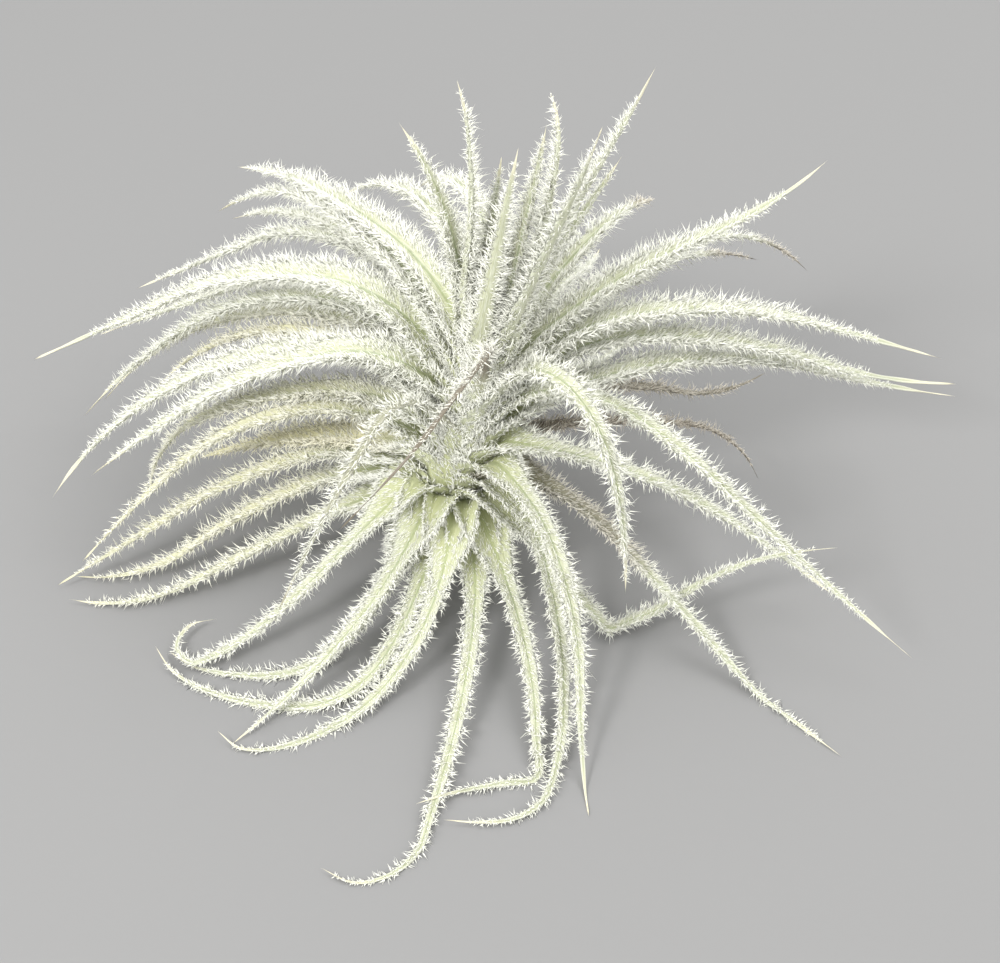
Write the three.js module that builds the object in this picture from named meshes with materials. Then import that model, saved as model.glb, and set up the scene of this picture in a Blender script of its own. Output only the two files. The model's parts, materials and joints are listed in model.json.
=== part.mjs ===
// A silver-haired air plant, without a pot, standing on the tips and backs of its lower leaves.
// Millimetres, +Z up. The floor is z = 0, and the origin lies under the middle of the plant.
import * as THREE from "three";

// Driving dimensions
const STEM_FOOT = new THREE.Vector3(-2, 0, 18);
const STEM_TOP = new THREE.Vector3(6, 0, 59);
const STEM_FOOT_RADIUS = 5;
const STEM_TOP_RADIUS = 2.4;
const STEM_SIDES = 20;
const FIRST_LEAF = 0.02; // share of the stem's length below the first leaf
const LAST_LEAF = 0.99;
const CROWDING = 1.25; // how much closer together the old leaves stand than the young ones
const ROOT_GAP = 0.4; // between the stem and a leaf's root
const BLADE_WIDTH = 3;
const SHEATH_WIDTH = 1.8; // added to the blade's width at its root
const SHEATH_LENGTH = 7;
const ROOT_THICKNESS = 0.9;
const TIP_THICKNESS = 0.35;
const CHANNEL_DEPTH = 0.5; // how far the blade's edges stand above its middle
const SEGMENTS = 14;

// The leaves from the oldest, at the stem's foot, to the youngest, at its tip.
// Each row holds a length, then headings and rises in degrees at even steps from root to tip.
// A heading of 0 is +X and 90 is +Y, and a rise of 0 is level. A last number scales the width.
const LEAVES = [
  [94, [290, 277, 266, 262, 259, 256, 254, 205, 135], [-29, -25, -18, -12, -10, -8, -5, 0, 4]],
  [78, [182, 198, 203, 168], [-14, -20, -16, 5]],
  [85, [75, 72, 70, 75], [5, -24, -24, 0]],
  [88, [258, 250, 245, 238, 212, 177, 165, 150, 118], [-26, -28, -28, -22, -12, -2, 0, 2, 20]],
  [78, [168, 193, 202, 172], [4, -18, -28, 0]],
  [82, [300, 296, 290, 286, 281, 275, 268, 192, 200, 212], [-26, -23, -19, -18, -20, -20, -18, 2, 8, 12]],
  [73, [237, 238, 238, 229, 216, 196, 178, 168, 140], [-26, -26, -28, -32, -28, -10, 0, 2, 14]],
  [84, [105, 110, 112, 120], [8, -26, -28, 0]],
  [79, [268, 262, 253, 241, 228, 216, 208, 188, 125], [-24, -26, -26, -28, -26, -14, -2, 0, 14]],
  [84, [168, 188, 196, 205], [20, -16, -29, -20]],
  [88, [-42, -41, -37, -38, 8, 18, 8, -4, -10], [-8, -26, -42, -46, 16, 34, 25, 20, 16]],
  [66, [240, 238, 230, 222, 222], [-24, -27, -20, -20, -8]],
  [86, [58, 60, 60, 64], [4, -24, -28, -4]],
  [78, [209, 214, 218, 219, 216, 210, 200, 80, -10], [-20, -24, -26, -26, -25, -23, -8, 5, 2]],
  [50, [162, 172, 176, 180], [14, -4, -16, -22], 1.5],
  [93, [-16, -38, -45, -46], [0, -30, -24, -5]],
  [82, [120, 128, 132, 140], [18, -18, -30, -12]],
  [92, [320, 310, 288, 280, 273, 264, 250, 190, 172], [-10, -24, -30, -26, -26, -20, -6, 0, 4]],
  [68, [18, 15, 16, -30], [12, -10, -22, -65]],
  [86, [172, 184, 193, 215], [45, -8, -42, -36]],
  [84, [84, 86, 90, 96], [30, -8, -28, -15]],
  [78, [-42, -66, -90, -84], [5, -34, -32, -18]],
  [68, [38, 15, 18, 35], [26, -10, -26, 8]],
  [78, [140, 152, 160, 195], [52, 0, -28, -46]],
  [79, [-18, -12, -12, -24], [12, -14, -34, -32]],
  [82, [62, 66, 70, 78], [32, -5, -28, -20]],
  [80, [165, 178, 172, 190], [36, -8, -36, -85]],
  [106, [12, 16, 12, 8], [30, -2, -26, -16]],
  [96, [128, 152, 170, 205], [44, -9, -28, -46]],
  [66, [222, 215, 240, 230, 220, 212], [82, 40, -22, -42, -55, -60]],
  [98, [120, 142, 172, 185], [40, -4, -26, -22]],
  [104, [-4, -18, -32, -27, -21, -28, -34], [62, 8, -18, -36, -40, -32, -24]],
  [97, [158, 174, 184, 222], [48, -12, -34, -42]],
  [82, [50, 46, 42, 18], [22, 0, -8, -30]],
  [102, [132, 156, 178, 200], [46, -9, -36, -46]],
  [104, [26, 6, 9, 10], [36, -6, -28, -10]],
  [106, [114, 134, 160, 168], [44, -1, -34, -32]],
  [84, [172, 178, 182, 205], [60, -16, -36, -30], 1.2],
  [88, [46, 40, 34, -8], [28, 4, -6, -48]],
  [68, [-28, -42, -48, -58, -72, -88], [70, 44, -22, -58, -68, -70]],
  [106, [140, 155, 175, 190], [54, -9, -31, -22], 1.25],
  [99, [19, 14, 10, 0], [42, -3, -24, -20]],
  [88, [118, 130, 130, 148], [44, -2, -20, -34]],
  [66, [285, 290, 240, 228, 208, 198], [86, 66, -5, -30, -40, -45]],
  [75, [22, 22, 20, 15], [44, 24, 12, 44]],
  [80, [92, 112, 122, 130], [52, 6, -24, -42]],
  [90, [132, 127, 130, 158], [52, 1, -20, -42]],
  [50, [40, 42, 50, 45], [48, 34, 8, -22]],
  [65, [-8, 30, 20, 45], [74, 66, 60, 50]],
  [62, [75, 100, 115, 135], [58, 22, -18, -50]],
  [88, [125, 130, 128, 132], [48, 0, -16, -26]],
  [43, [42, 34, 28, 35], [58, 50, 48, 50], 0.85],
  [46, [130, 132, 145, 140], [76, 80, 66, 40], 0.85],
  [54, [-45, 0, 15, 0], [74, 70, 68, 74], 0.75],
  [47, [-110, 0, 20, 50], [78, 80, 80, 74], 0.75],
  [53, [180, 15, 100, 130], [84, 82, 86, 62], 0.75],
  [50, [-8, 22, 50, 124], [70, 77, 75, 48], 0.75],
  [42, [46, 35, 30, 40], [74, 77, 76, 80], 0.7],
  [34, [100, 60, 40, 50], [78, 84, 80, 78], 0.7],
];

const YOUNG_GREEN = new THREE.Color(0xb9c29a);
const OLD_STRAW = new THREE.Color(0xc9bf9f);
const STEM_BROWN = new THREE.Color(0x7d7358);

// A value between even steps of a list, at a share t of the way along it.
function valueAt(steps, t) {
  const place = t * (steps.length - 1);
  const before = Math.min(Math.floor(place), steps.length - 2);
  return THREE.MathUtils.lerp(steps[before], steps[before + 1], place - before);
}

function direction(heading, rise) {
  const turn = THREE.MathUtils.degToRad(heading);
  const lift = THREE.MathUtils.degToRad(rise);
  return new THREE.Vector3(
    Math.cos(turn) * Math.cos(lift),
    Math.sin(turn) * Math.cos(lift),
    Math.sin(lift),
  );
}

// The blade tapers to a point, and widens at its root into a sheath.
function widthAt(t, length, scale) {
  const blade = BLADE_WIDTH * Math.pow(1 - Math.pow(t, 2.2), 0.8);
  const sheath = SHEATH_WIDTH * Math.exp((-t * length) / SHEATH_LENGTH);
  return scale * (blade + sheath);
}

function thicknessAt(t) {
  return THREE.MathUtils.lerp(ROOT_THICKNESS, TIP_THICKNESS, t);
}

// Where a leaf leaves the stem: at a share of the stem's length, on the side that it heads for.
function rootPoint(share, heading, rise) {
  const lift = THREE.MathUtils.degToRad(Math.abs(rise));
  const radius = THREE.MathUtils.lerp(STEM_FOOT_RADIUS, STEM_TOP_RADIUS, share);
  const reach = radius + ROOT_GAP + 0.6 * ROOT_THICKNESS * Math.sin(lift);
  return STEM_FOOT.clone()
    .lerp(STEM_TOP, share)
    .addScaledVector(direction(heading, 0), reach);
}

// The middle line, followed step by step. A leaf that reaches the floor lies along it.
function middleLine(root, length, headings, rises) {
  const points = [root];
  for (let i = 0; i < SEGMENTS; i++) {
    const t = (i + 0.5) / SEGMENTS;
    const next = points[i]
      .clone()
      .addScaledVector(direction(valueAt(headings, t), valueAt(rises, t)), length / SEGMENTS);
    next.z = Math.max(next.z, thicknessAt(t) / 2);
    points.push(next);
  }
  return points;
}

// One cross-section: a lens that is bent into a shallow channel, with its hollow side up.
function ring(centre, side, up, width, thickness) {
  const across = [0.5, 0.18, -0.18, -0.5, -0.18, 0.18];
  const above = [0, 0.5, 0.5, 0, -0.5, -0.5];
  return across.map((a, i) => {
    const lift = CHANNEL_DEPTH * (width / BLADE_WIDTH) * (4 * a * a - 0.3);
    return centre
      .clone()
      .addScaledVector(side, a * width)
      .addScaledVector(up, above[i] * thickness + lift * 0.5);
  });
}

// A closed blade: the rings along the middle line, a flat root and a pointed tip.
function bladeGeometry(points, heading, length, scale) {
  const side = direction(heading + 90, 0);
  const corners = [];
  const faces = [];
  for (let i = 0; i < SEGMENTS; i++) {
    const ahead = points[i + 1].clone().sub(points[Math.max(i - 1, 0)]).normalize();
    side.addScaledVector(ahead, -side.dot(ahead)).normalize();
    const up = ahead.clone().cross(side);
    const t = i / SEGMENTS;
    corners.push(...ring(points[i], side, up, widthAt(t, length, scale), thicknessAt(t)));
  }
  corners.push(points[SEGMENTS]);
  for (let j = 0; j < 6; j++) {
    const k = (j + 1) % 6;
    for (let i = 0; i < SEGMENTS - 1; i++) {
      const [a, b] = [6 * i + j, 6 * i + k];
      faces.push(a, b, b + 6, a, b + 6, a + 6);
    }
    const last = 6 * (SEGMENTS - 1);
    faces.push(last + j, last + k, 6 * SEGMENTS);
    if (j > 0 && k > 0) faces.push(0, k, j);
  }
  const geometry = new THREE.BufferGeometry().setFromPoints(corners);
  geometry.setIndex(faces);
  geometry.computeVertexNormals();
  return geometry;
}

function leafMesh(row, index) {
  const [length, headings, rises, scale = 1] = row;
  const age = 1 - index / (LEAVES.length - 1);
  const share = THREE.MathUtils.lerp(FIRST_LEAF, LAST_LEAF, Math.pow(1 - age, CROWDING));
  const root = rootPoint(share, headings[0], rises[0]);
  const points = middleLine(root, length, headings, rises);
  const material = new THREE.MeshStandardMaterial({
    color: YOUNG_GREEN.clone().lerp(OLD_STRAW, age),
    roughness: 0.9,
    metalness: 0,
  });
  const mesh = new THREE.Mesh(bladeGeometry(points, headings[0], length, scale), material);
  mesh.name = `leaf_${String(index + 1).padStart(2, "0")}`;
  return mesh;
}

// The short stem: a tapered rod with a flat dry foot and a rounded tip.
function stemMesh() {
  const length = STEM_FOOT.distanceTo(STEM_TOP);
  const outline = [
    new THREE.Vector2(0, 0),
    new THREE.Vector2(STEM_FOOT_RADIUS - 0.5, 0),
    new THREE.Vector2(STEM_FOOT_RADIUS, 0.6),
    new THREE.Vector2(STEM_TOP_RADIUS, length),
    new THREE.Vector2(STEM_TOP_RADIUS / 2, length + 1.2),
    new THREE.Vector2(0, length + 1.6),
  ];
  const material = new THREE.MeshStandardMaterial({ color: STEM_BROWN, roughness: 0.95 });
  const mesh = new THREE.Mesh(new THREE.LatheGeometry(outline, STEM_SIDES), material);
  const axis = STEM_TOP.clone().sub(STEM_FOOT).normalize();
  mesh.quaternion.setFromUnitVectors(new THREE.Vector3(0, 1, 0), axis);
  mesh.position.copy(STEM_FOOT);
  mesh.name = "stem";
  return mesh;
}

// Moves the plant so that its lowest point is on the floor, with the origin under its middle.
function centreOnFloor(group) {
  const box = new THREE.Box3().setFromObject(group, true);
  const middle = box.getCenter(new THREE.Vector3());
  group.position.set(-middle.x, -middle.y, -box.min.z);
}

const leaves = new THREE.Group();
leaves.add(...LEAVES.map(leafMesh));
const plant = new THREE.Group();
plant.add(stemMesh(), leaves);
centreOnFloor(plant);

export default plant;
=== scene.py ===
"""The looks of a silver-haired air plant: haired leaves, dry leaves and a stem on a pale floor."""

import json
import math
from collections import namedtuple
from functools import partial

import bpy
import numpy as np
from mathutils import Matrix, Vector


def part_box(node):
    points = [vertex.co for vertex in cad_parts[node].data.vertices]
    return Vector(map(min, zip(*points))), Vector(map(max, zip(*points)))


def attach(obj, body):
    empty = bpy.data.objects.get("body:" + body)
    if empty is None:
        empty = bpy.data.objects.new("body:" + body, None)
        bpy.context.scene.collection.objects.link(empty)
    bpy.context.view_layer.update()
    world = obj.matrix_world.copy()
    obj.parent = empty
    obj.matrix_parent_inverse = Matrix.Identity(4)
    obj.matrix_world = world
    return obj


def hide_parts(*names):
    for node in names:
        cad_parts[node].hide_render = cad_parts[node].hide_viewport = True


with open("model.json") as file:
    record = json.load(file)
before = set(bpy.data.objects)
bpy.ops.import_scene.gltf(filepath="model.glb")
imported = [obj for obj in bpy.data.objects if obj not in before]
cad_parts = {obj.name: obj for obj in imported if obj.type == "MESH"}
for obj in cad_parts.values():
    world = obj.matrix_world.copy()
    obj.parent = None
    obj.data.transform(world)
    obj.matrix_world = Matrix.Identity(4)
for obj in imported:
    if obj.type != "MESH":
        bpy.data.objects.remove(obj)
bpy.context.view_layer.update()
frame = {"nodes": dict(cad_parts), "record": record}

bl_info = {
    "name": "Air plant",
    "version": (1, 0, 0),
    "blender": (4, 5, 0),
    "location": "3D View > Sidebar > Air plant",
    "description": "Builds the haired leaves, the stem and the stage of an air plant",
    "category": "Object",
}

SHEET = "OFBake"  # the UV map: u runs from root to tip, v runs round the blade, then up a hair
BLADE_SHARE = 0.8  # the share of v that the blade takes; the hairs have the rest
MM = 0.001

# ------------------------ leaf by leaf

# What a leaf is unless TRAITS says otherwise. Width, hair (the hairs' length) and coat (their
# number) are factors, and yellow goes from 0 to 1. Blunt is how much broader the tip stays, and
# bare is the share at the tip that has no hairs. Withered says from what share of the leaf to what
# share it has gone brown, how far in the blade, and how far in its hairs. Sheath is a factor on its
# width, one on its height, and how far it stands off the stem. Some leaves also have a kink: the
# last section before a sharp bend and the first one after it.
PLAIN = {
    "width": 1.0,
    "hair": 1.0,
    "coat": 1.0,
    "blunt": 1.0,
    "bare": 0.05,
    "yellow": 0.03,
    "withered": (0.0, 0.0, 0.0, 0.0),
    "sheath": (1.0, 1.0, 0.35 * MM),
}
TRAITS = {
    1: {"bare": 0.03},
    2: {"yellow": 0.3, "hair": 1.25},
    5: {"yellow": 0.5, "width": 1.25, "hair": 1.35},
    6: {"kink": (9, 11)},
    10: {"yellow": 0.5, "width": 1.2, "hair": 1.35},
    11: {"kink": (6, 7)},
    15: {"yellow": 1.0, "width": 1.4, "hair": 1.3, "coat": 1.3, "blunt": 2.0, "bare": 0.0},
    16: {"withered": (0.0, 0.45, 0.7, 0.5)},
    19: {"withered": (0.0, 2.0, 1.0, 0.8), "width": 0.8},
    20: {"yellow": 0.5, "width": 1.2, "hair": 1.2},
    22: {"bare": 0.14, "blunt": 1.3},
    23: {"withered": (0.0, 2.0, 0.9, 0.7), "width": 0.8},
    24: {"yellow": 0.7, "width": 1.3, "hair": 1.1},
    27: {"yellow": 0.4, "width": 1.2},
    28: {"bare": 0.14, "width": 1.2, "blunt": 1.4},
    29: {"yellow": 0.3, "width": 1.2},
    30: {"width": 0.5, "hair": 0.95, "coat": 0.9, "withered": (0.1, 2.0, 0.45, 0.0)},
    31: {"width": 1.25},
    32: {"bare": 0.1, "width": 0.85, "hair": 0.8, "sheath": (1.4, 1.8, 1.0 * MM)},
    33: {"bare": 0.1, "width": 1.35},
    34: {"bare": 0.02, "withered": (0.85, 2.0, 1.0, 0.7)},
    35: {"bare": 0.08, "width": 1.25},
    36: {"bare": 0.18, "width": 1.2, "blunt": 1.4},
    37: {"width": 1.2},
    38: {"width": 1.35},
    39: {"bare": 0.04, "withered": (0.86, 2.0, 1.0, 0.7)},
    40: {"bare": 0.03, "sheath": (1.5, 2.0, 1.3 * MM)},
    41: {"bare": 0.12, "width": 1.35},
    42: {"bare": 0.14, "width": 1.15, "blunt": 1.4},
    43: {"width": 1.25},
    44: {
        "bare": 0.2,
        "width": 0.36,
        "coat": 0.5,
        "withered": (0.32, 2.0, 1.0, 0.15),
        "sheath": (1.8, 2.4, 1.9 * MM),
    },
    45: {"bare": 0.12, "width": 1.15, "blunt": 1.6},
    47: {"width": 1.25},
    48: {"width": 1.2, "blunt": 4.5, "bare": 0.0, "withered": (0.88, 2.0, 0.6, 0.6)},
    49: {"width": 1.4, "blunt": 1.5, "bare": 0.08, "hair": 1.1},
    51: {"width": 1.25},
    53: {"width": 1.25, "blunt": 1.3, "bare": 0.06},
    54: {"width": 1.2, "blunt": 1.5, "bare": 0.05, "coat": 1.3},
    55: {"width": 1.1, "blunt": 1.5, "bare": 0.05, "coat": 1.5},
    56: {"width": 1.4, "blunt": 1.5, "bare": 0.03, "hair": 1.15},
    57: {"width": 2.0, "blunt": 3.6, "hair": 1.1, "bare": 0.0},
    58: {"width": 1.3, "blunt": 1.5, "bare": 0.05, "coat": 1.3},
    59: {"width": 1.1, "blunt": 1.5, "bare": 0.05, "coat": 1.5},
}

# Leaves are numbered from the oldest, at the stem's foot, to the youngest. Each pair holds the leaf
# numbers between which an effect of age fades out or sets in.
OLD_LEAVES = (18, 30)
OLD_NARROWER = 0.22  # the share of its width that an old leaf has lost
OLD_SHORTER = 0.28  # the share of their length that its hairs have lost
YOUNG_LEAVES = (42, 48)
FACE_HAIRS_END = (1.52, 1.27)  # up to how far round from the edge, in radians, its faces have hairs


# ------------------------ settings


def float_setting(subtype, name, description, default, highest=1000.0):
    """A setting that is a number from 0 upwards, shown as Blender shows its subtype."""
    return bpy.props.FloatProperty(
        name=name, description=description, default=default, min=0.0, max=highest, subtype=subtype
    )


angle_setting = partial(float_setting, "ANGLE")
factor_setting = partial(float_setting, "FACTOR")
length_setting = partial(float_setting, "DISTANCE")
power_setting = partial(float_setting, "POWER")


def count_setting(name, description, default, lowest=0):
    """A setting that is a whole number."""
    return bpy.props.IntProperty(name=name, description=description, default=default, min=lowest)


def colour_setting(name, description, default):
    """A setting shown as a colour."""
    return bpy.props.FloatVectorProperty(
        name=name, description=description, default=default, size=3, min=0.0, max=1.0, subtype="COLOR"
    )


class LeafShape(bpy.types.PropertyGroup):
    """The blade's section and its coat of hairs."""

    fullness: factor_setting("Fullness", "Width of the blade over that of its CAD solid", 1.25, 2.0)
    fold: factor_setting("Fold", "How far the edges stand above the middle, over half the width", 0.4)
    rings: count_setting("Rings", "Sections from root to tip", 56, 8)
    sides: count_setting("Sides", "Points round a section", 12, 6)
    sheath_height: length_setting("Sheath height", "How far the leaf's foot runs down the stem", 10 * MM)
    sheath_width: length_setting("Sheath width", "How much wider the leaf is at its root", 8 * MM)
    sheath_length: length_setting("Sheath length", "How far along the blade that width fades", 8 * MM)
    ripple: length_setting("Ripple", "Height of the uneven waves along the edges", 0.2 * MM)
    hairs: count_setting("Hairs", "Hairs on a millimetre of a leaf that is about 3 mm wide", 26)
    hair_length: length_setting("Hair length", "Length of a full-grown hair", 3.0 * MM)
    hair_width: length_setting("Hair width", "Width of a hair where it is widest", 0.28 * MM)


class LeafColours(bpy.types.PropertyGroup):
    """The colours of living, yellowed and withered leaves, of their hairs and of the stem."""

    blade: colour_setting("Blade", "Living blade", (0.455, 0.475, 0.31))
    groove: colour_setting("Groove", "Middle of the blade's hollow side", (0.25, 0.31, 0.15))
    edge: colour_setting("Edge", "Blade near its edges, where hairs stand dense", (0.67, 0.69, 0.57))
    root: colour_setting("Root", "Young tissue near the stem", (0.46, 0.49, 0.23))
    tip: colour_setting("Tip", "Bare straw-coloured tip", (0.84, 0.79, 0.60))
    yellowed: colour_setting("Yellowed", "Blade of an ageing leaf", (0.80, 0.77, 0.50))
    withered: colour_setting("Withered", "Blade where the leaf has died", (0.20, 0.17, 0.125))
    hair: colour_setting("Hair", "Hairs of a living leaf", (0.96, 0.965, 0.89))
    hair_foot: colour_setting("Hair foot", "Foot of a hair on a living leaf", (0.9, 0.91, 0.78))
    old_hair: colour_setting("Old hair", "Hairs of an ageing leaf", (0.96, 0.93, 0.76))
    dry_hair: colour_setting("Dry hair", "Hairs where the leaf has died", (0.55, 0.48, 0.40))
    bark: colour_setting("Bark", "Dry stem", (0.22, 0.17, 0.10))


class Stage(bpy.types.PropertyGroup):
    """The floor, the lights and the camera."""

    floor: colour_setting("Floor", "Plain pale floor", (0.23, 0.23, 0.235))
    key: power_setting("Key light", "Power of the main light", 5.1)
    rim: power_setting("Rim light", "Power of the wide light on the other side", 3.4)
    fill: factor_setting("Sky", "Strength of the light from all round", 1.36, 10.0)
    distance: length_setting("Distance", "From the camera to the point that it looks at", 0.35)
    elevation: angle_setting("Elevation", "How far above level the camera stands", math.radians(45))
    lens: float_setting("DISTANCE_CAMERA", "Lens", "Focal length on a 36 mm sensor", 62.3)


# ------------------------ leaf lines from the frame

WELD_DECIMALS = 6  # points that are alike to this many decimals of a metre are made one
RING_POINTS = 6  # corners of a section in a leaf's CAD solid
FINE_STEPS = 40  # steps from one control of a leaf's line to the next, where its length is measured

SHEATH_STEPS = 4  # controls on the curve of a sheath, before those of its blade
LOWEST_SHEATH = 0.3 * MM  # how near to the stem's foot a sheath may start
SHEATH_HOLD = 0.6  # the share of its height over which a sheath keeps its full width
FOOT_NARROWER = 0.15  # the share of its width that a sheath lacks at its very foot
SHEATH_FADE = 0.8  # the share of its length in which its arc round the stem opens into the blade
SHEATH_STAND = 0.5 * MM  # how much longer the arc's radius is than the way to the stem's axis
STOUT_POWER = 0.8  # how closely a sheath's width follows the stem's radius

ROOT_FULLER, TIP_THINNER = 1.4, 0.65  # a factor on the blade's width at its root, and its fall
TIP_WIDTH = 1.15 * MM  # how broad an even tip stays before it rounds off
LEAST_HALF = 0.3 * MM  # the half width below which a blade folds no tighter

# The stem from the foot of its axis upwards, with the radius of its lower and of its upper half.
Stem = namedtuple("Stem", "foot axis low_radius high_radius height")
# What a leaf's line says of a place on it.
Station = namedtuple("Station", "middle ahead aside up half bend sheath")


def merged(mesh):
    """A mesh's own points and its triangles, with points in the same place made one."""
    points = np.empty(len(mesh.vertices) * 3)
    mesh.vertices.foreach_get("co", points)
    corners = np.empty(len(mesh.loops), int)
    mesh.loops.foreach_get("vertex_index", corners)
    rounded = np.round(points.reshape(-1, 3), WELD_DECIMALS)
    unique, index = np.unique(rounded, axis=0, return_inverse=True)
    return unique, index.reshape(-1)[corners].reshape(-1, 3)


def steps_from(start, links):
    """How many edges away each point is from the start, by spreading out one edge at a time."""
    steps = np.full(len(links), -1)
    reached = np.zeros(len(links), bool)
    reached[start] = True
    step = 0
    while reached.any():
        steps[reached] = step
        reached = links[reached].any(axis=0) & (steps < 0)
        step += 1
    return steps


def leaf_rings(mesh):
    """The leaf's sections from root to tip: each has six points, and the tip is one point.

    The tip is the only point from which every step outwards meets just six new points.
    """
    points, triangles = merged(mesh)
    links = np.zeros((len(points), len(points)), bool)
    for a, b in ((0, 1), (1, 2), (2, 0)):
        links[triangles[:, a], triangles[:, b]] = True
        links[triangles[:, b], triangles[:, a]] = True
    for start in np.flatnonzero(links.sum(1) == RING_POINTS):
        steps = steps_from(start, links)
        counts = np.bincount(steps[steps >= 0])
        if counts[0] == 1 and (counts[1:] == RING_POINTS).all():
            rings = [points[steps == k] for k in range(len(counts) - 1, 0, -1)]
            return np.array(rings), points[start]
    raise RuntimeError(mesh.name + " has no tip that its sections lead to")


def smooth(values, places):
    """Values at fractional places along a list, on a curve through them all.

    Between two neighbours b and c, with a before and d after, and f from 0 to 1:
    half of (2b + (c - a) f + (2a - 5b + 4c - d) f squared + (3b - a - 3c + d) f cubed).
    """
    ends = np.concatenate([2 * values[:1] - values[1:2], values, 2 * values[-1:] - values[-2:-1]])
    low = np.minimum(np.floor(places).astype(int), len(values) - 2)
    f = (places - low)[:, None]
    a, b, c, d = (ends[low + k] for k in range(4))
    square, cube = 2 * a - 5 * b + 4 * c - d, 3 * b - a - 3 * c + d
    return 0.5 * (2 * b + (c - a) * f + square * f**2 + cube * f**3)


def unit(vectors):
    """Vectors scaled to length one."""
    return vectors / np.maximum(np.linalg.norm(vectors, axis=-1, keepdims=True), 1e-12)


def measured_stem():
    """The stem's measures, read from its CAD solid: its axis is the way in which it is longest."""
    points, _ = merged(frame["nodes"]["stem"].data)
    middle = points.mean(0)
    axis = np.linalg.svd(points - middle)[2][0]
    axis = axis * np.sign(axis[2])
    along = (points - middle) @ axis
    reach = np.linalg.norm(points - middle - np.outer(along, axis), axis=1)
    low, high = along.min(), along.max()
    half = 0.5 * (low + high)
    low_radius, high_radius = reach[along < half].max(), reach[along > half].max()
    return Stem(middle + axis * low, axis, low_radius, high_radius, high - low)


def leaf_sections(mesh):
    """The middles of a leaf's sections with its tip, the ways across them, and their widths.

    A section is as wide as its two farthest corners are apart, and the way across joins them.
    """
    rings, tip = leaf_rings(mesh)
    apart = np.linalg.norm(rings[:, :, None] - rings[:, None], axis=-1)
    farthest = np.array([divmod(section.argmax(), RING_POINTS) for section in apart])
    rows = np.arange(len(rings))
    aside = unit(rings[rows, farthest[:, 0]] - rings[rows, farthest[:, 1]])
    for k in range(1, len(aside)):
        aside[k] *= np.sign(aside[k] @ aside[k - 1]) or 1.0
    return np.vstack([rings.mean(1), tip]), aside, apart.max((1, 2))


def kinked(middle, aside, wide, before, after):
    """A leaf's sections with one more in place of those between two, at a sharp corner.

    The corner is the nearest point to both of two lines: the one through the section before and its
    forerunner, and the one through the section after and its follower.
    """
    first, second = middle[before] - middle[before - 1], middle[after] - middle[after + 1]
    gap = middle[after] - middle[before]
    t, u = np.linalg.lstsq(np.stack([first, -second], 1), gap, rcond=None)[0]
    corner = 0.5 * (middle[before] + t * first + middle[after] + u * second)
    corners = (corner, 0.5 * (aside[before] + aside[after]), 0.5 * (wide[before] + wide[after]))
    lists = zip((middle, aside, wide), corners)
    return [np.concatenate([a[: before + 1], [c], a[after:]]) for a, c in lists]


def sheath_curve(start, up, joint, ahead, f):
    """Points of the curve that leaves the start going up and comes to the joint going ahead.

    At f from 0 to 1, with both ways as long as the start is from the joint, it is
    (2f3 - 3f2 + 1) start + (f3 - 2f2 + f) up + (3f2 - 2f3) joint + (f3 - f2) ahead.
    """
    reach = np.linalg.norm(joint - start)
    curve = (2 * f**3 - 3 * f**2 + 1) * start + (f**3 - 2 * f**2 + f) * up * reach
    return curve + (3 * f**2 - 2 * f**3) * joint + (f**3 - f**2) * ahead * reach


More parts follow.
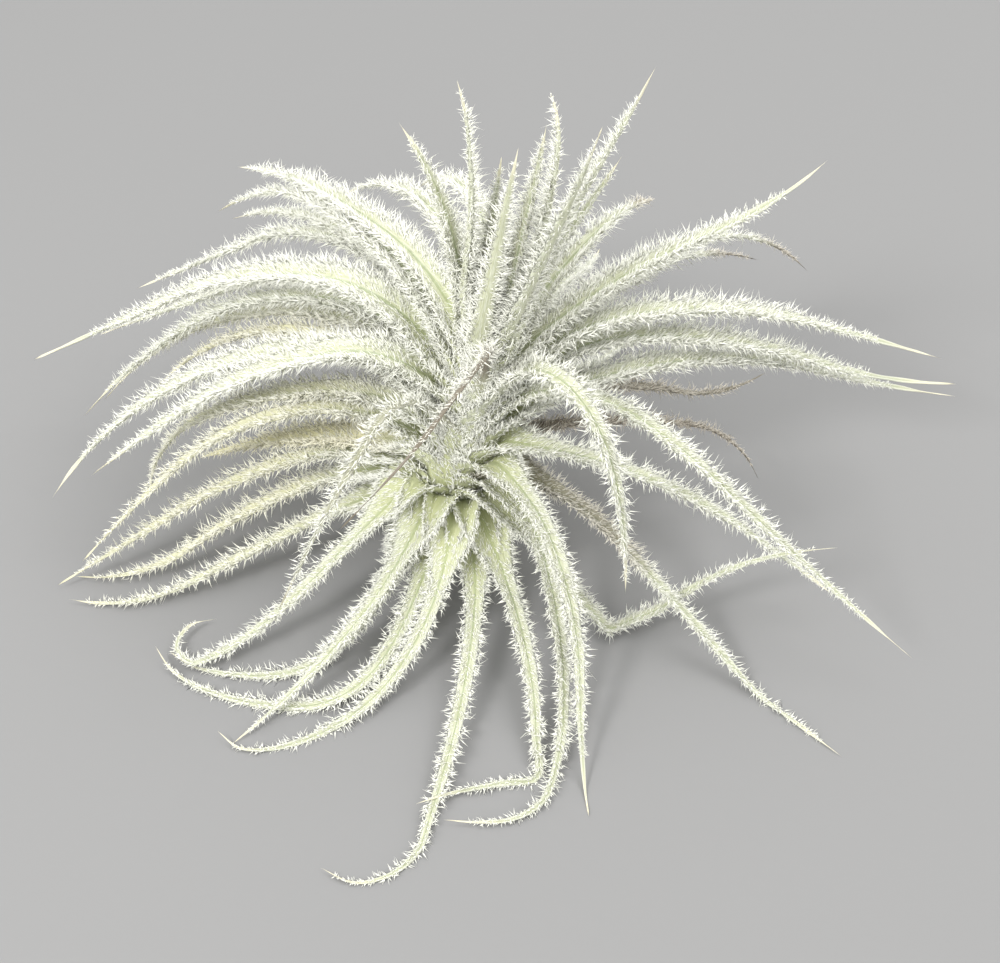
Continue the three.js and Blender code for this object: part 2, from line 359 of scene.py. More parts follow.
class LeafLine:
    """A leaf's line from the foot of its sheath to its tip, in stations at even steps.

    At each station it holds the middle, the directions ahead, aside and up, the half width, the
    bend of the section (one over the radius of its arc) and how much of a sheath it is.
    The sheath starts on the stem below the leaf and joins the blade at its second section.
    """

    def __init__(self, mesh, shape, traits, stem):
        middle, aside, wide = leaf_sections(mesh)
        if "kink" in traits:
            middle, aside, wide = kinked(middle, aside, wide, *traits["kink"])
        out = middle[0] - stem.foot
        place = out @ stem.axis
        out = unit(out - place * stem.axis)
        if np.cross(middle[1] - middle[0], aside[0]) @ (stem.axis - out) < 0:
            aside = -aside
        broader, taller, lift = traits["sheath"]
        self.sheath_height = shape.sheath_height * taller
        bottom = max(place - self.sheath_height, LOWEST_SHEATH)
        radii = (stem.low_radius, stem.high_radius)
        radius = np.interp(bottom, (0, stem.height), radii) + lift
        start = stem.foot + stem.axis * bottom + out * radius
        f = np.arange(SHEATH_STEPS)[:, None] / SHEATH_STEPS
        curve = sheath_curve(start, stem.axis, middle[1], unit(middle[2] - middle[0]), f)
        around = np.cross(stem.axis, out)
        around = around * (np.sign(around @ aside[1]) or 1.0)
        asides = np.vstack([around * (1 - f) + aside[1] * f, aside[1:], aside[-1:]])
        places = self.set_stations(np.vstack([curve, middle[1:]]), asides, shape.rings)
        width = np.concatenate([np.full(SHEATH_STEPS, wide[0]), wide[1:], [0]])
        width = width * shape.fullness * traits["width"]
        stout = (radius / stem.low_radius) ** STOUT_POWER
        sheath_width = shape.sheath_width * broader * stout
        self.set_widths(smooth(width[:, None], places)[:, 0], sheath_width, shape, traits["blunt"])
        flat = 2 * shape.fold / np.maximum(self.half, LEAST_HALF)
        self.bend = self.sheath / (radius + SHEATH_STAND) + (1 - self.sheath) * flat

    def set_stations(self, middle, aside, count):
        """Sets stations at even steps along a smooth curve through controls. Returns their places."""
        fine = np.linspace(0, len(middle) - 1, FINE_STEPS * len(middle))
        curve = smooth(middle, fine)
        run = np.concatenate([[0], np.cumsum(np.linalg.norm(np.diff(curve, axis=0), axis=1))])
        self.length = run[-1]
        self.share = np.linspace(0, 1, count)
        places = np.interp(self.share * self.length, run, fine)
        self.middle = smooth(middle, places)
        self.ahead = unit(np.gradient(self.middle, axis=0))
        raw = smooth(aside, places)
        self.aside = unit(raw - (raw * self.ahead).sum(1, keepdims=True) * self.ahead)
        self.up = np.cross(self.ahead, self.aside)
        return places

    def set_widths(self, solid_width, sheath_width, shape, blunt):
        """Sets the half widths and how much of a sheath each station is.

        The blade is as wide as its solid times a factor that falls to the tip, and at least the
        tip's width times the root of what is left of the leaf. The sheath's width is added to it:
        beyond its hold it fades as e to the minus square of the way over the sheath's length.
        """
        away = self.share * self.length
        held = SHEATH_HOLD * self.sheath_height
        blade = solid_width.clip(0) * (ROOT_FULLER - TIP_THINNER * self.share)
        blade = np.maximum(blade, TIP_WIDTH * blunt * np.sqrt(1 - self.share))
        beyond = (away - held).clip(0)
        extra = sheath_width * np.exp(-((beyond / shape.sheath_length) ** 2))
        narrow = 1 - FOOT_NARROWER + FOOT_NARROWER * np.clip(away / held, 0, 1)
        self.half = 0.5 * (blade + extra) * narrow
        past = (away - self.sheath_height).clip(0)
        self.sheath = np.exp(-((past / (SHEATH_FADE * shape.sheath_length)) ** 2))

    def at(self, share):
        """The line's station at shares of its length, read between its own stations."""
        place = share * (len(self.share) - 1)
        low = np.minimum(place.astype(int), len(self.share) - 2)
        f = place - low
        lines = (self.middle, self.ahead, self.aside, self.up)
        rows = [v[low] * (1 - f[:, None]) + v[low + 1] * f[:, None] for v in lines]
        plain = [v[low] * (1 - f) + v[low + 1] * f for v in (self.half, self.bend, self.sheath)]
        return Station(*rows, *plain)


# ------------------------ blade and hairs

HALF_THICK, HALF_THINNER = 0.4, 0.2  # half the blade's thickness at the root and its fall, in mm
FULL_THICK_FROM = 0.5 * MM  # the half width from which the blade has its full thickness
ROOT_THICK = 0.35  # the share of that thickness which the blade has at its very root
ROOT_THICKENS = 20  # how fast the share grows to one: by one over a twentieth of the blade
WAVE_PACE = (2.3 * MM, 5.3 * MM)  # the way along the edge in which each wave turns by one radian

# Each row holds a value for the hairs on the edges, for those below the blade and for those above.
EDGE, ABOVE = 0, 2  # their places in the rows
HAIR_SHARES = (0.37, 0.26, 0.37)  # of all hairs
HAIR_REACH = np.array([1.0, 0.6, 0.6])  # how far it points outwards
HAIR_RISE = np.array([0.0, -0.8, 0.7])  # how far it points off the blade's hollow side
HAIR_LEAN = np.array([0.0, 0.0, 0.4])  # how much farther than others it leans to the tip
HAIR_SCATTER = np.array([1.5, 1.0, 1.0])  # how much its way differs from its neighbours'
HAIR_SIZE = np.array([1.0, 0.8, 0.72])  # a factor on its length

FIRST_HAIR = 0.02  # the share of the leaf's length that is bare at the root
ROOT_PLACES = 200  # places along a leaf between which hairs are shared out
THIN_COAT, WIDE_COAT = 0.25, 0.55  # the coat of no width at all, and more for a mm of half width
LEAST_ROOT_COAT = 0.3  # the share of its hairs that the foot of a sheath has
FACE_HAIRS_START = 0.3  # how far round from the edge, in radians, the hairs of the faces start
EDGE_SPREAD = 0.35  # how far round the edge, in radians, the hairs of the edges spread
TUFT_PACE = (0.9 * MM, 0.37 * MM)  # the way in which each of two waves of leaning turns by a radian
TUFT_LEAN, TUFT_RISE = 0.4, 0.3  # how far tufts lean along the leaf, and how far up
LEAN, LEAN_SPREAD = 0.5, 0.3  # how far hairs lean to the tip, and how much that differs
SCATTER = 0.16  # how much the ways of hairs side by side differ
GROWTH_SHARE, GROWTH_POWER = 0.3, 0.6  # hairs grow over this share from the bare tip, fast at first
LEAST_LENGTH = 0.35  # a factor on a hair's length
CHANCE_LENGTH, CHANCE_POWER = 0.95, 1.5  # what chance adds to it, and how rare long hairs are
YOUNG_LENGTH = 0.3  # a factor on the length of the hairs next to the bare tip
YOUNG_NARROWER = 0.3  # the share of their width that those hairs lack
NARROWEST, BROADEST = 0.7, 1.2  # factors on a hair's width
SHEATH_LEAN = 0.8  # how much farther to the tip the hairs on a sheath lean
SHEATH_CALM = 0.5  # how much less they rise and scatter
SHEATH_SHORTER = 0.15  # the share of their length that they lack

# The corners of a hair's triangles, and how far up the hair each is on the sheet. A lance has its
# foot, three points round its belly and its tip. A spike has three points at its foot and its tip.
LANCE = np.array([(2, 1, 0), (3, 2, 0), (1, 3, 0), (1, 2, 4), (2, 3, 4), (3, 1, 4)])
LANCE_UP = np.array([(0.5, 0.5, 0.1)] * 3 + [(0.5, 0.5, 0.95)] * 3)
SPIKE = np.array([(0, 2, 1), (0, 1, 3), (1, 2, 3), (2, 0, 3)])
SPIKE_UP = np.array([(0.1, 0.1, 0.1)] + [(0.1, 0.1, 0.95)] * 3)
LANCE_BOW = 0.15  # how far belly and tip bend apart, over the length
LANCE_BELLY = 0.36  # how far up its belly is
LANCE_DEPTH = 0.4  # how thick the belly is over its width
LANCE_SUNK, SPIKE_SUNK = 0.15 * MM, 0.12 * MM  # how deep their feet are in the blade


def blade_point(line, shape, share, turn, phase):
    """Points of the blade's skin at shares of its length and turns round its section.

    The section is an arc: with c the cosine of the turn and a = bend times c half widths, a point
    lies sin(a) over bend aside and (1 - cos(a)) over bend up. From there it goes the sine of the
    turn times half the thickness square to the arc. Two slow waves lift and lower the edges. The
    ways square to the arc, outwards and ahead come with each point.
    """
    middle, ahead, aside, up, half, bend, sheath = line.at(share)
    flat = 1 - sheath
    away = share * line.length
    across, over = np.cos(turn), np.sin(turn)
    angle = bend * across * half
    sink = 0.5 * (1 - np.cos(bend * half)) / bend * flat
    thick = (HALF_THICK - HALF_THINNER * share) * MM * np.minimum(1, half / FULL_THICK_FROM)
    thick = thick * np.minimum(1, ROOT_THICK + ROOT_THICKENS * share)
    quick, slow = WAVE_PACE
    wave = shape.ripple * np.sin(away / quick + phase) * np.sin(away / slow + 2 * phase)
    square = up * np.cos(angle)[:, None] - aside * np.sin(angle)[:, None]
    point = middle + aside * (np.sin(angle) / bend)[:, None]
    point = point + up * ((1 - np.cos(angle)) / bend - sink + wave * across * flat)[:, None]
    point = point + square * (over * thick)[:, None]
    outward = aside * np.cos(angle)[:, None] + up * np.sin(angle)[:, None]
    outward = outward * np.sign(across)[:, None]
    return point, square, outward, ahead


def blade_grid(line, shape, phase):
    """The blade's closed skin: rings of points, a point in the middle of the root, and the tip.

    On the sheet u is the share of the length, and v runs round the section, over the blade's share.
    """
    n, m = shape.rings, shape.sides
    shares = np.linspace(0, 1, n)[:-1]
    turns = np.arange(m) * 2 * np.pi / m
    grid = blade_point(line, shape, np.repeat(shares, m), np.tile(turns, n - 1), phase)[0]
    points = np.vstack([grid, grid[:m].mean(0), line.middle[-1]])
    i, j = np.meshgrid(np.arange(n - 2), np.arange(m), indexing="ij")
    a, b = (i * m + j).ravel(), (i * m + (j + 1) % m).ravel()
    faces = np.stack([a, b, b + m, a, b + m, a + m], 1).reshape(-1, 3)
    rim = np.arange(m)
    following = (rim + 1) % m
    last = (n - 2) * m
    root = np.stack([following, rim, np.full(m, len(grid))], 1)
    tip = np.stack([rim + last, following + last, np.full(m, len(grid) + 1)], 1)
    faces = np.vstack([faces, root, tip])
    u_of = np.concatenate([np.repeat(shares, m), [0], [1]])
    v_of = np.concatenate([np.tile(rim / m, n - 1), [0.5], [0.25]])
    u, v = u_of[faces], v_of[faces]
    v = np.where(v.max(1, keepdims=True) - v > 0.5, v + 1, v)
    return points, faces, np.stack([u, v * BLADE_SHARE], -1)


def hair_roots(line, shape, traits, rng):
    """Shares of the leaf's length at which hairs stand, more of them where the blade is wide."""
    grid = np.linspace(FIRST_HAIR, 1 - traits["bare"], ROOT_PLACES)
    coat = THIN_COAT + WIDE_COAT * line.at(grid).half / MM
    coat = coat * np.clip(grid * line.length / line.sheath_height, LEAST_ROOT_COAT, 1)
    count = int(shape.hairs * traits["coat"] * line.length / MM * coat.mean())
    total = np.cumsum(coat)
    return np.interp(rng.random(count), total / total[-1], grid)


def hair_turns(place, traits, rng):
    """Each hair's side of the blade, and how far round the section it stands on an edge or a face."""
    count = len(place)
    side = rng.choice((-1.0, 1.0), count)
    slope = rng.uniform(FACE_HAIRS_START, traits["face_hairs_end"], count)
    slope = np.where(place == ABOVE, 1.0, -1.0) * slope
    turn = np.where(place == EDGE, rng.normal(0, EDGE_SPREAD, count), slope)
    return side, np.where(side > 0, turn, math.pi - turn)


def hair_coat(line, shape, traits, phase, rng):
    """The coat of hairs: where each stands, where it points, how long and how wide it is.

    More than a third stand on the two edges and reach straight out. The others stand on the two
    faces, combed to the nearer edge and to the tip. A way is the sum of the ways outwards, square
    to the blade and ahead, times reach, rise and lean. The product of two sines makes hairs lean in
    tufts. On a sheath they lie flatter.
    """
    share = hair_roots(line, shape, traits, rng)
    count = len(share)
    place = np.searchsorted(np.cumsum(HAIR_SHARES)[:-1], rng.random(count))
    side, turn = hair_turns(place, traits, rng)
    foot, square, outward, ahead = blade_point(line, shape, share, turn, phase)
    away = share * line.length
    slow, quick = TUFT_PACE
    tuft = np.sin(away / slow + phase + side) * np.sin(away / quick + 3 * side)
    sheath = line.at(share).sheath
    lean = rng.normal(LEAN, LEAN_SPREAD, count) + TUFT_LEAN * tuft + HAIR_LEAN[place]
    lean = lean + SHEATH_LEAN * sheath
    rise = np.where(place == EDGE, np.sin(turn) + TUFT_RISE * tuft, HAIR_RISE[place])
    rise = rise * (1 - SHEATH_CALM * sheath)
    way = outward * HAIR_REACH[place, None] + square * rise[:, None] + ahead * lean[:, None]
    scatter = HAIR_SCATTER[place] - SHEATH_CALM * sheath
    way = unit(unit(way) + rng.normal(0, SCATTER, (count, 3)) * scatter[:, None])
    grown = np.clip((1 - traits["bare"] - share) / GROWTH_SHARE, 0, 1) ** GROWTH_POWER
    chance = LEAST_LENGTH + CHANCE_LENGTH * rng.random(count) ** CHANCE_POWER
    size = shape.hair_length * traits["hair"] * chance * (YOUNG_LENGTH + (1 - YOUNG_LENGTH) * grown)
    size = size * HAIR_SIZE[place] * (1 - SHEATH_SHORTER * sheath)
    wide = shape.hair_width * rng.uniform(NARROWEST, BROADEST, count)
    wide = wide * (1 - YOUNG_NARROWER + YOUNG_NARROWER * grown)
    edge = place == EDGE
    lances = lance_hairs(foot[edge], way[edge], size[edge], wide[edge], rng)
    spikes = spike_hairs(foot[~edge], way[~edge], size[~edge], wide[~edge], rng)
    return (lances, share[edge]), (spikes, share[~edge])


def hair_frame(way, rng):
    """Two directions square to each hair's way, turned about it at random."""
    flat = unit(np.cross(way, rng.normal(0, 1, way.shape)))
    return flat, np.cross(way, flat)


def lance_hairs(foot, way, size, wide, rng):
    """Closed bent hairs: a foot below the skin, three points a third of the way up, and a tip.

    The belly is moved by the bow square to the hair's way, and the tip is moved back by as much.
    """
    flat, cross = hair_frame(way, rng)
    bow = cross * (rng.normal(0, LANCE_BOW, len(way)) * size)[:, None]
    belly = foot + way * (LANCE_BELLY * size)[:, None] + bow
    across, through = flat * (wide / 2)[:, None], cross * (LANCE_DEPTH * wide)[:, None]
    sunk, tip = foot - way * LANCE_SUNK, foot + way * size[:, None] - bow
    return np.stack([sunk, belly + across, belly + through, belly - across, tip], 1)


def spike_hairs(foot, way, size, wide, rng):
    """Closed straight hairs: three points below the skin, a third of a turn apart, and a tip."""
    flat, cross = hair_frame(way, rng)
    base = foot - way * SPIKE_SUNK
    turns = np.arange(3) * 2 * math.pi / 3
    points = [base + (flat * math.cos(t) + cross * math.sin(t)) * (wide / 2)[:, None] for t in turns]
    return np.stack([*points, foot + way * size[:, None]], 1)


def hair_skin(points, share, faces, heights):
    """Hairs as one skin: points, triangles and places on the sheet.

    On the sheet u is the share at the hair's foot, and v runs up the hair beyond the blade's share.
    """
    count, size = points.shape[:2]
    triangles = size * np.arange(count)[:, None, None] + faces
    u = np.broadcast_to(share[:, None, None], triangles.shape)
    v = np.broadcast_to(BLADE_SHARE + (1 - BLADE_SHARE) * heights, triangles.shape)
    return points.reshape(-1, 3), triangles.reshape(-1, 3), np.stack([u, v], -1).reshape(-1, 3, 2)


# ------------------------ pieces

FLOOR_GAP = 0.02 * MM  # how far the lowest points stay above the floor
BAND_SLOPE = 12  # one over the share in which a band's slopes go from nothing to all
YELLOW_SLOPE, YELLOW_START = 5, 0.8  # yellow sets in at a sixth of the length, full at a third


def band(share, low, high):
    """One between low and high, and none outside, with slopes a twelfth wide."""
    inside = np.clip((share - low) * BAND_SLOPE + 0.5, 0, 1)
    return inside * np.clip((high - share) * BAND_SLOPE + 0.5, 0, 1)


def make_piece(name, parts, skins, marks):
    """A new object from parts: each has points, triangles, places on the sheet and a material.

    Marks are numbers for each point, which the materials read by name.
    """
    starts = np.cumsum([0] + [len(part[0]) for part in parts])
    points = np.vstack([part[0] for part in parts])
    points[:, 2] = np.maximum(points[:, 2], FLOOR_GAP)
    faces = np.vstack([part[1] + start for part, start in zip(parts, starts)])
    sheet = np.vstack([part[2] for part in parts])
    skin_of_face = np.concatenate([np.full(len(part[1]), part[3]) for part in parts])
    mesh = bpy.data.meshes.new(name)
    mesh.vertices.add(len(points))
    mesh.vertices.foreach_set("co", points.astype(np.float32).ravel())
    mesh.loops.add(faces.size)
    mesh.loops.foreach_set("vertex_index", faces.astype(np.int32).ravel())
    mesh.polygons.add(len(faces))
    mesh.polygons.foreach_set("loop_start", np.arange(0, faces.size, 3, dtype=np.int32))
    mesh.polygons.foreach_set("material_index", skin_of_face.astype(np.int32))
    mesh.update(calc_edges=True)
    mesh.shade_smooth()
    mesh.uv_layers.new(name=SHEET).data.foreach_set("uv", sheet.astype(np.float32).ravel())
    for mark, value in marks.items():
        layer = mesh.attributes.new(mark, "FLOAT", "POINT")
        layer.data.foreach_set("value", value.astype(np.float32))
    for skin in skins:
        mesh.materials.append(skin)
    piece = bpy.data.objects.new(name, mesh)
    bpy.context.scene.collection.objects.link(piece)
    return piece


def leaf_traits(number):
    """What the leaf of this number is like, with the effects of its age."""
    traits = PLAIN | TRAITS.get(number, {})
    old = np.interp(number, OLD_LEAVES, (1, 0))
    traits["width"] *= 1 - OLD_NARROWER * old
    traits["hair"] *= 1 - OLD_SHORTER * old
    traits["face_hairs_end"] = np.interp(number, YOUNG_LEAVES, FACE_HAIRS_END)
    return traits


def make_leaf(name, shape, stem, skins):
    """One haired leaf that stands for its CAD solid."""
    number = int(name.split("_")[1])
    rng = np.random.default_rng(number)
    traits = leaf_traits(number)
    line = LeafLine(frame["nodes"][name].data, shape, traits, stem)
    phase = rng.uniform(0, 6)  # of its waves and tufts, in radians
    points, faces, sheet = blade_grid(line, shape, phase)
    blade_shares = np.concatenate([np.repeat(line.share[:-1], shape.sides), [0, 1]])
    (lances, lance_share), (spikes, spike_share) = hair_coat(line, shape, traits, phase, rng)
    parts = [
        (points, faces, sheet, 0),
        (*hair_skin(lances, lance_share, LANCE, LANCE_UP), 1),
        (*hair_skin(spikes, spike_share, SPIKE, SPIKE_UP), 1),
    ]
    hair_shares = [np.repeat(lance_share, lances.shape[1]), np.repeat(spike_share, spikes.shape[1])]
    shares = np.concatenate([blade_shares, *hair_shares])
    low, high, in_blade, in_hairs = traits["withered"]
    depth = np.where(np.arange(len(shares)) < len(points), in_blade, in_hairs)
    marks = {
        "withered": depth * band(shares, low, high),
        "yellow": traits["yellow"] * np.clip(shares * YELLOW_SLOPE - YELLOW_START, 0, 1),
    }
    piece = make_piece(name + "_haired", parts, skins, marks)
    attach(piece, "root")
    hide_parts(name)
    return piece


# ------------------------ materials

MIX_INPUTS, MIX_OUTPUT = (0, 6, 7), 2  # a Mix node's share and its two colours, and the mixed one

# Between which two values each zone goes from nothing to all: of the sine and the cosine of the
# turn, of the share of the length, of the sheet's v and of the noise.
TOP_SIDE = (0.0, 0.6)
EDGE_ZONE, GROOVE_ZONE = (0.35, 0.95), (0.2, 0.03)
ROOT_ZONE, TIP_ZONE = (0.3, 0.08), (0.86, 0.98)
HAIR_ZONE = (BLADE_SHARE, BLADE_SHARE + 0.1)
STREAK_ZONE = (0.35, 0.68)


def joined(tree, value, socket):
    """Feeds a socket from another socket, a number or a colour."""
    if isinstance(value, bpy.types.NodeSocket):
        tree.links.new(value, socket)
    elif socket.type == "RGBA":
        socket.default_value = (*value, 1)
    else:
        socket.default_value = value


def fed(tree, node, inputs):
    """A node with some of its inputs, by name or number, fed from sockets, numbers or colours."""
    for name, value in inputs.items():
        joined(tree, value, node.inputs[name])
    return node


def new_node(tree, kind, inputs):
    """A new shader node of one kind with some of its inputs fed."""
    return fed(tree, tree.nodes.new("ShaderNode" + kind), inputs)


def mix(tree, share, low, high):
    """A mixed colour: low where the share is 0 and high where it is 1."""
    made = tree.nodes.new("ShaderNodeMix")
    made.data_type = "RGBA"
    return fed(tree, made, dict(zip(MIX_INPUTS, (share, low, high)))).outputs[MIX_OUTPUT]


def ramp(tree, value, low, high):
    """A share that goes smoothly from 0 at low to 1 at high."""
    made = new_node(tree, "MapRange", {"Value": value, "From Min": low, "From Max": high})
    made.interpolation_type = "SMOOTHSTEP"
    return made.outputs["Result"]


def arithmetic(tree, operation, a, b=0.0):
    """One sum on two numbers or sockets."""
    made = new_node(tree, "Math", {0: a, 1: b})
    made.operation = operation
    return made.outputs[0]


def product(tree, a, b):
    """One number or socket times another."""
    return arithmetic(tree, "MULTIPLY", a, b)


def sheet_place(tree):
    """The places u and v on the sheet."""
    place = tree.nodes.new("ShaderNodeUVMap")
    place.uv_map = SHEET
    return new_node(tree, "SeparateXYZ", {0: place.outputs[0]}).outputs[:2]


def mark_of(tree, name):
    """One of a piece's marks, which hold a number for each of its points."""
    made = tree.nodes.new("ShaderNodeAttribute")
    made.attribute_name = name
    return made.outputs["Fac"]


def new_group(name, inputs, outputs):
    """A shader node group with named inputs and outputs, and its two end nodes."""
    group = bpy.data.node_groups.new(name, "ShaderNodeTree")
    for title, kind in inputs.items():
        group.interface.new_socket(title, in_out="INPUT", socket_type=kind)
    for title, kind in outputs.items():
        group.interface.new_socket(title, in_out="OUTPUT", socket_type=kind)
    return group, group.nodes.new("NodeGroupInput").outputs, group.nodes.new("NodeGroupOutput").inputs


def placed(tree, group, **inputs):
    """The outputs of a group placed in a material, with its inputs fed by name."""
    made = tree.nodes.new("ShaderNodeGroup")
    made.node_tree = group
    return fed(tree, made, inputs).outputs


def leaf_zones_group():
    """Shares from 0 to 1 for a leaf's zones, read from the sheet.

    Round the blade the turn is v over the blade's share, in whole turns. Edge follows the size of
    the turn's cosine. Groove is where that is small and the sine is above 0. Root and Tip follow u,
    and Up follows v on hairs.
    """
    names = ("Edge", "Groove", "Root", "Tip", "Up")
    group, _, out = new_group("leaf_zones", {}, dict.fromkeys(names, "NodeSocketFloat"))
    along, v = sheet_place(group)
    turn = product(group, v, 2 * math.pi / BLADE_SHARE)
    to_edge = arithmetic(group, "ABSOLUTE", arithmetic(group, "COSINE", turn))
    on_top = ramp(group, arithmetic(group, "SINE", turn), *TOP_SIDE)
    joined(group, product(group, on_top, ramp(group, to_edge, *GROOVE_ZONE)), out["Groove"])
    joined(group, ramp(group, to_edge, *EDGE_ZONE), out["Edge"])
    joined(group, ramp(group, along, *ROOT_ZONE), out["Root"])
    joined(group, ramp(group, along, *TIP_ZONE), out["Tip"])
    joined(group, ramp(group, v, *HAIR_ZONE), out["Up"])
    return group


def leaf_streaks_group():
    """Streaks along a leaf: noise over the sheet, drawn out along it, as a share from 0 to 1."""
    inputs = {"Across": "NodeSocketFloat", "Along": "NodeSocketFloat"}
    group, given, out = new_group("leaf_streaks", inputs, {"Streaks": "NodeSocketFloat"})
    u, v = sheet_place(group)
    drawn_out = {0: product(group, u, given["Along"]), 1: product(group, v, given["Across"])}
    scaled = new_node(group, "CombineXYZ", drawn_out).outputs[0]
    noise = new_node(group, "TexNoise", {"Scale": 1.0, "Vector": scaled})
    joined(group, ramp(group, noise.outputs["Fac"], *STREAK_ZONE), out["Streaks"])
    return group


def leaf_age_group():
    """Turns a fresh colour to the yellowed and the withered one by the leaf's own two marks."""
    kind = "NodeSocketColor"
    inputs = {"Fresh": kind, "Yellowed": kind, "Withered": kind}
    group, given, out = new_group("leaf_age", inputs, {"Colour": kind})
    older = mix(group, mark_of(group, "yellow"), given["Fresh"], given["Yellowed"])
    joined(group, mix(group, mark_of(group, "withered"), older, given["Withered"]), out["Colour"])
    return group


# How often pale streaks and fine ridges come on the sheet.
STREAKS = {"Across": 60.0, "Along": 22.0}
RIDGES = {"Across": 90.0, "Along": 20.0}
STREAK_DEPTH, GROOVE_DEPTH, ROOT_DEPTH = 0.85, 0.7, 0.7  # how far each colour covers those under it
RIDGE_HEIGHT = 0.2 * MM


def new_material(name):
    """A material with its node tree and its Principled shader."""
    material = bpy.data.materials.new(name)
    material.use_nodes = True
    return material, material.node_tree, material.node_tree.nodes["Principled BSDF"]


def blade_material(name, groups, hues):
    """A matt blade: green groove, pale edges, yellow-green root, straw tip, and streaks along it."""
    material, tree, shader = new_material(name)
    zones = placed(tree, groups["zones"])
    streaks = placed(tree, groups["streaks"], **STREAKS)["Streaks"]
    body = mix(tree, product(tree, streaks, STREAK_DEPTH), hues.blade, hues.edge)
    body = mix(tree, zones["Edge"], body, hues.edge)
    body = mix(tree, product(tree, zones["Groove"], GROOVE_DEPTH), body, hues.groove)
    body = mix(tree, product(tree, zones["Root"], ROOT_DEPTH), body, hues.root)
    body = mix(tree, zones["Tip"], body, hues.tip)
    aged = placed(tree, groups["age"], Fresh=body, Yellowed=hues.yellowed, Withered=hues.withered)
    ridges = placed(tree, groups["streaks"], **RIDGES)["Streaks"]
    bump = new_node(tree, "Bump", {"Strength": 0.5, "Distance": RIDGE_HEIGHT, "Height": ridges})
    looks = {"Base Color": aged["Colour"], "Roughness": 0.62, "Sheen Weight": 0.3}
    fed(tree, shader, looks | {"Normal": bump.outputs[0]})
    return material


def hair_material(name, groups, hues):
    """White hairs that are a little greener at their feet, where the blade shows through."""
    material, tree, shader = new_material(name)
    zones = placed(tree, groups["zones"])
    fresh = mix(tree, zones["Up"], hues.hair_foot, hues.hair)
    aged = placed(tree, groups["age"], Fresh=fresh, Yellowed=hues.old_hair, Withered=hues.dry_hair)
    fed(tree, shader, {"Base Color": aged["Colour"], "Roughness": 0.5, "Sheen Weight": 0.4})
    return material


def leaf_skins(kind, context):
    """The blade's and the hairs' materials for one kind of leaf, with the groups that they share."""
    hues = context.scene.leaf_colours
    made = bpy.data.node_groups
    groups = {
        "zones": made.get("leaf_zones") or leaf_zones_group(),
        "streaks": made.get("leaf_streaks") or leaf_streaks_group(),
        "age": made.get("leaf_age") or leaf_age_group(),
    }
    return blade_material(kind + "_blade", groups, hues), hair_material(kind + "_hair", groups, hues)


FIBRES = (900, 900, 120)  # how often the bark's fibres come in a metre, across and up
FIBRE_HEIGHT = 0.3 * MM
PALE_BARK = 2.2  # how much paler the lightest fibres are
BARK_TO = (8 * MM, 16 * MM)  # the heights between which dry bark gives way to young tissue


def bark_material(name, bark, young):
    """Dry brown bark with fibres that run up the stem, from noise on Object coordinates.

    Above the lowest leaves it turns to the pale green of young tissue.
    """
    material, tree, shader = new_material(name)
    place = tree.nodes.new("ShaderNodeTexCoord").outputs["Object"]
    squeezed = new_node(tree, "Mapping", {"Scale": FIBRES, "Vector": place}).outputs[0]
    fibres = new_node(tree, "TexNoise", {"Scale": 1.0, "Vector": squeezed}).outputs["Fac"]
    height = new_node(tree, "SeparateXYZ", {0: place}).outputs[2]
    pale = tuple(min(1.0, PALE_BARK * c) for c in bark)
    dry = mix(tree, fibres, bark, pale)
    body = mix(tree, ramp(tree, height, *BARK_TO), dry, young)
    bump = new_node(tree, "Bump", {"Distance": FIBRE_HEIGHT, "Height": fibres})
    fed(tree, shader, {"Base Color": body, "Roughness": 0.9, "Normal": bump.outputs[0]})
    return material


# ------------------------ operators

WARM_WHITE = (1.0, 0.99, 0.965)
# Each light's place, the side of its square and its colour.
KEY_LIGHT = {"place": (-0.50, -0.46, 0.66), "size": 0.2, "tint": WARM_WHITE}
RIM_LIGHT = {"place": (0.45, 0.1, 0.8), "size": 0.5, "tint": WARM_WHITE}
SKY_TINT = (1.0, 1.0, 0.97)
FLOOR_RADIUS = 3.0
AIM_ASIDE, AIM_UP = 14.6 * MM, 2 * MM  # where the camera looks, from the stem box's low corner


def nodes_of(slot):
    """The CAD nodes that the record gives this material slot, in order."""
    return sorted(s["node"] for s in frame["record"]["subparts"] if s["material_slot"] == slot)


def make_leaves(context, slot):
    """Every leaf of one material slot, with materials of its own."""
    skins = leaf_skins(slot, context)
    stem = measured_stem()
    for name in nodes_of(slot):
        piece = make_leaf(name, context.scene.leaf_shape, stem, skins)


class AIRPLANT_OT_haired_leaves(bpy.types.Operator):
    """Builds each living leaf: a folded, tapering blade with its coat of white hairs"""

    bl_idname = "airplant.haired_leaves"
    bl_label = "Haired leaves"

    def execute(self, context):
        make_leaves(context, "haired_leaf")
        return {"FINISHED"}


class AIRPLANT_OT_dry_leaves(bpy.types.Operator):
    """Builds each dry leaf: the same blade and coat, brown and thin"""

    bl_idname = "airplant.dry_leaves"
    bl_label = "Dry leaves"

    def execute(self, context):
        make_leaves(context, "dry_leaf")
        return {"FINISHED"}


class AIRPLANT_OT_stem(bpy.types.Operator):
    """Gives the short stem its dry bark"""

    bl_idname = "airplant.stem"
    bl_label = "Stem"

    def execute(self, context):
        hues = context.scene.leaf_colours
        bark = bark_material("stem_bark", hues.bark, hues.root)
        for name in nodes_of("stem"):
            mesh = frame["nodes"][name].data
            mesh.materials.clear()
            mesh.materials.append(bark)
        return {"FINISHED"}


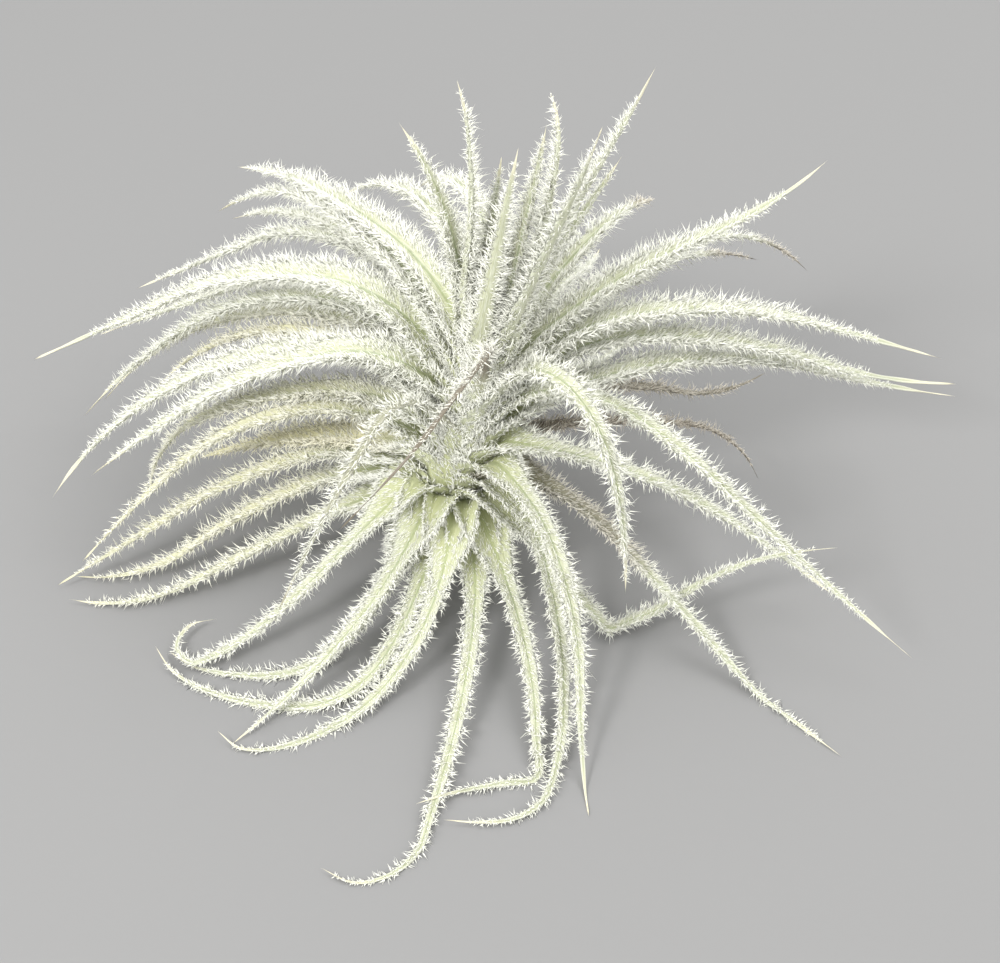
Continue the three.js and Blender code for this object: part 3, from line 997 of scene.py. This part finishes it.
def add_floor(hue):
    """A plain round floor at the plant's foot, with a matt colour."""
    material, tree, shader = new_material("floor_paper")
    fed(tree, shader, {"Base Color": hue, "Roughness": 0.85})
    bpy.ops.mesh.primitive_circle_add(vertices=96, radius=FLOOR_RADIUS, fill_type="NGON")
    floor = bpy.context.object
    floor.name = "floor"
    floor.data.materials.append(material)


def add_light(name, aim, power, place, size, tint):
    """A square soft light at a place, turned to the aim."""
    data = bpy.data.lights.new(name, "AREA")
    data.size = size
    data.energy = power
    data.color = tint
    lamp = bpy.data.objects.new(name, data)
    lamp.location = place
    lamp.rotation_euler = (aim - Vector(place)).to_track_quat("-Z", "Y").to_euler()
    bpy.context.scene.collection.objects.link(lamp)


def add_sky(strength):
    """Even light from all round."""
    world = bpy.data.worlds.new("sky")
    world.use_nodes = True
    tree = world.node_tree
    fed(tree, tree.nodes["Background"], {"Color": SKY_TINT, "Strength": strength})
    bpy.context.scene.world = world


def add_camera(aim, distance, elevation, lens):
    """A camera in front of the plant, at a distance and an angle above level, turned to the aim."""
    data = bpy.data.cameras.new("camera")
    data.lens = lens
    data.clip_start = 0.01
    camera = bpy.data.objects.new("camera", data)
    back = Vector((0, -math.cos(elevation), math.sin(elevation)))
    camera.location = aim + back * distance
    camera.rotation_euler = (-back).to_track_quat("-Z", "Y").to_euler()
    bpy.context.scene.collection.objects.link(camera)
    bpy.context.scene.camera = camera


class AIRPLANT_OT_stage(bpy.types.Operator):
    """Sets the pale floor, the soft lights and the camera"""

    bl_idname = "airplant.stage"
    bl_label = "Stage"

    def execute(self, context):
        stage = context.scene.plant_stage
        low, high = (Vector(corner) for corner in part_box("stem"))
        aim = Vector((low.x + AIM_ASIDE, (low.y + high.y) / 2, low.z + AIM_UP))
        add_floor(stage.floor)
        add_light("key", aim, stage.key, **KEY_LIGHT)
        add_light("rim", aim, stage.rim, **RIM_LIGHT)
        add_sky(stage.fill)
        context.scene.view_settings.view_transform = "Standard"
        add_camera(aim, stage.distance, stage.elevation, stage.lens)
        return {"FINISHED"}


class AIRPLANT_PT_panel(bpy.types.Panel):
    """Lists the plant's settings and the steps that build it"""

    bl_label = "Air plant"
    bl_space_type = "VIEW_3D"
    bl_region_type = "UI"
    bl_category = "Air plant"

    def draw(self, context):
        scene = context.scene
        for group in (scene.leaf_shape, scene.leaf_colours, scene.plant_stage):
            box = self.layout.box()
            for name in type(group).__annotations__:
                box.prop(group, name)
        for operator in OPERATORS:
            self.layout.operator(operator.bl_idname)


OPERATORS = (AIRPLANT_OT_haired_leaves, AIRPLANT_OT_dry_leaves, AIRPLANT_OT_stem, AIRPLANT_OT_stage)
GROUPS = {"leaf_shape": LeafShape, "leaf_colours": LeafColours, "plant_stage": Stage}


def register():
    for cls in (*GROUPS.values(), *OPERATORS, AIRPLANT_PT_panel):
        bpy.utils.register_class(cls)
    for name, group in GROUPS.items():
        setattr(bpy.types.Scene, name, bpy.props.PointerProperty(type=group))


def unregister():
    for name in GROUPS:
        delattr(bpy.types.Scene, name)
    for cls in (AIRPLANT_PT_panel, *reversed(OPERATORS), *GROUPS.values()):
        bpy.utils.unregister_class(cls)


def main():
    """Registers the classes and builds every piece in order."""
    register()
    bpy.ops.airplant.haired_leaves()
    bpy.ops.airplant.dry_leaves()
    bpy.ops.airplant.stem()
    bpy.ops.airplant.stage()


if __name__ == "__main__":
    main()
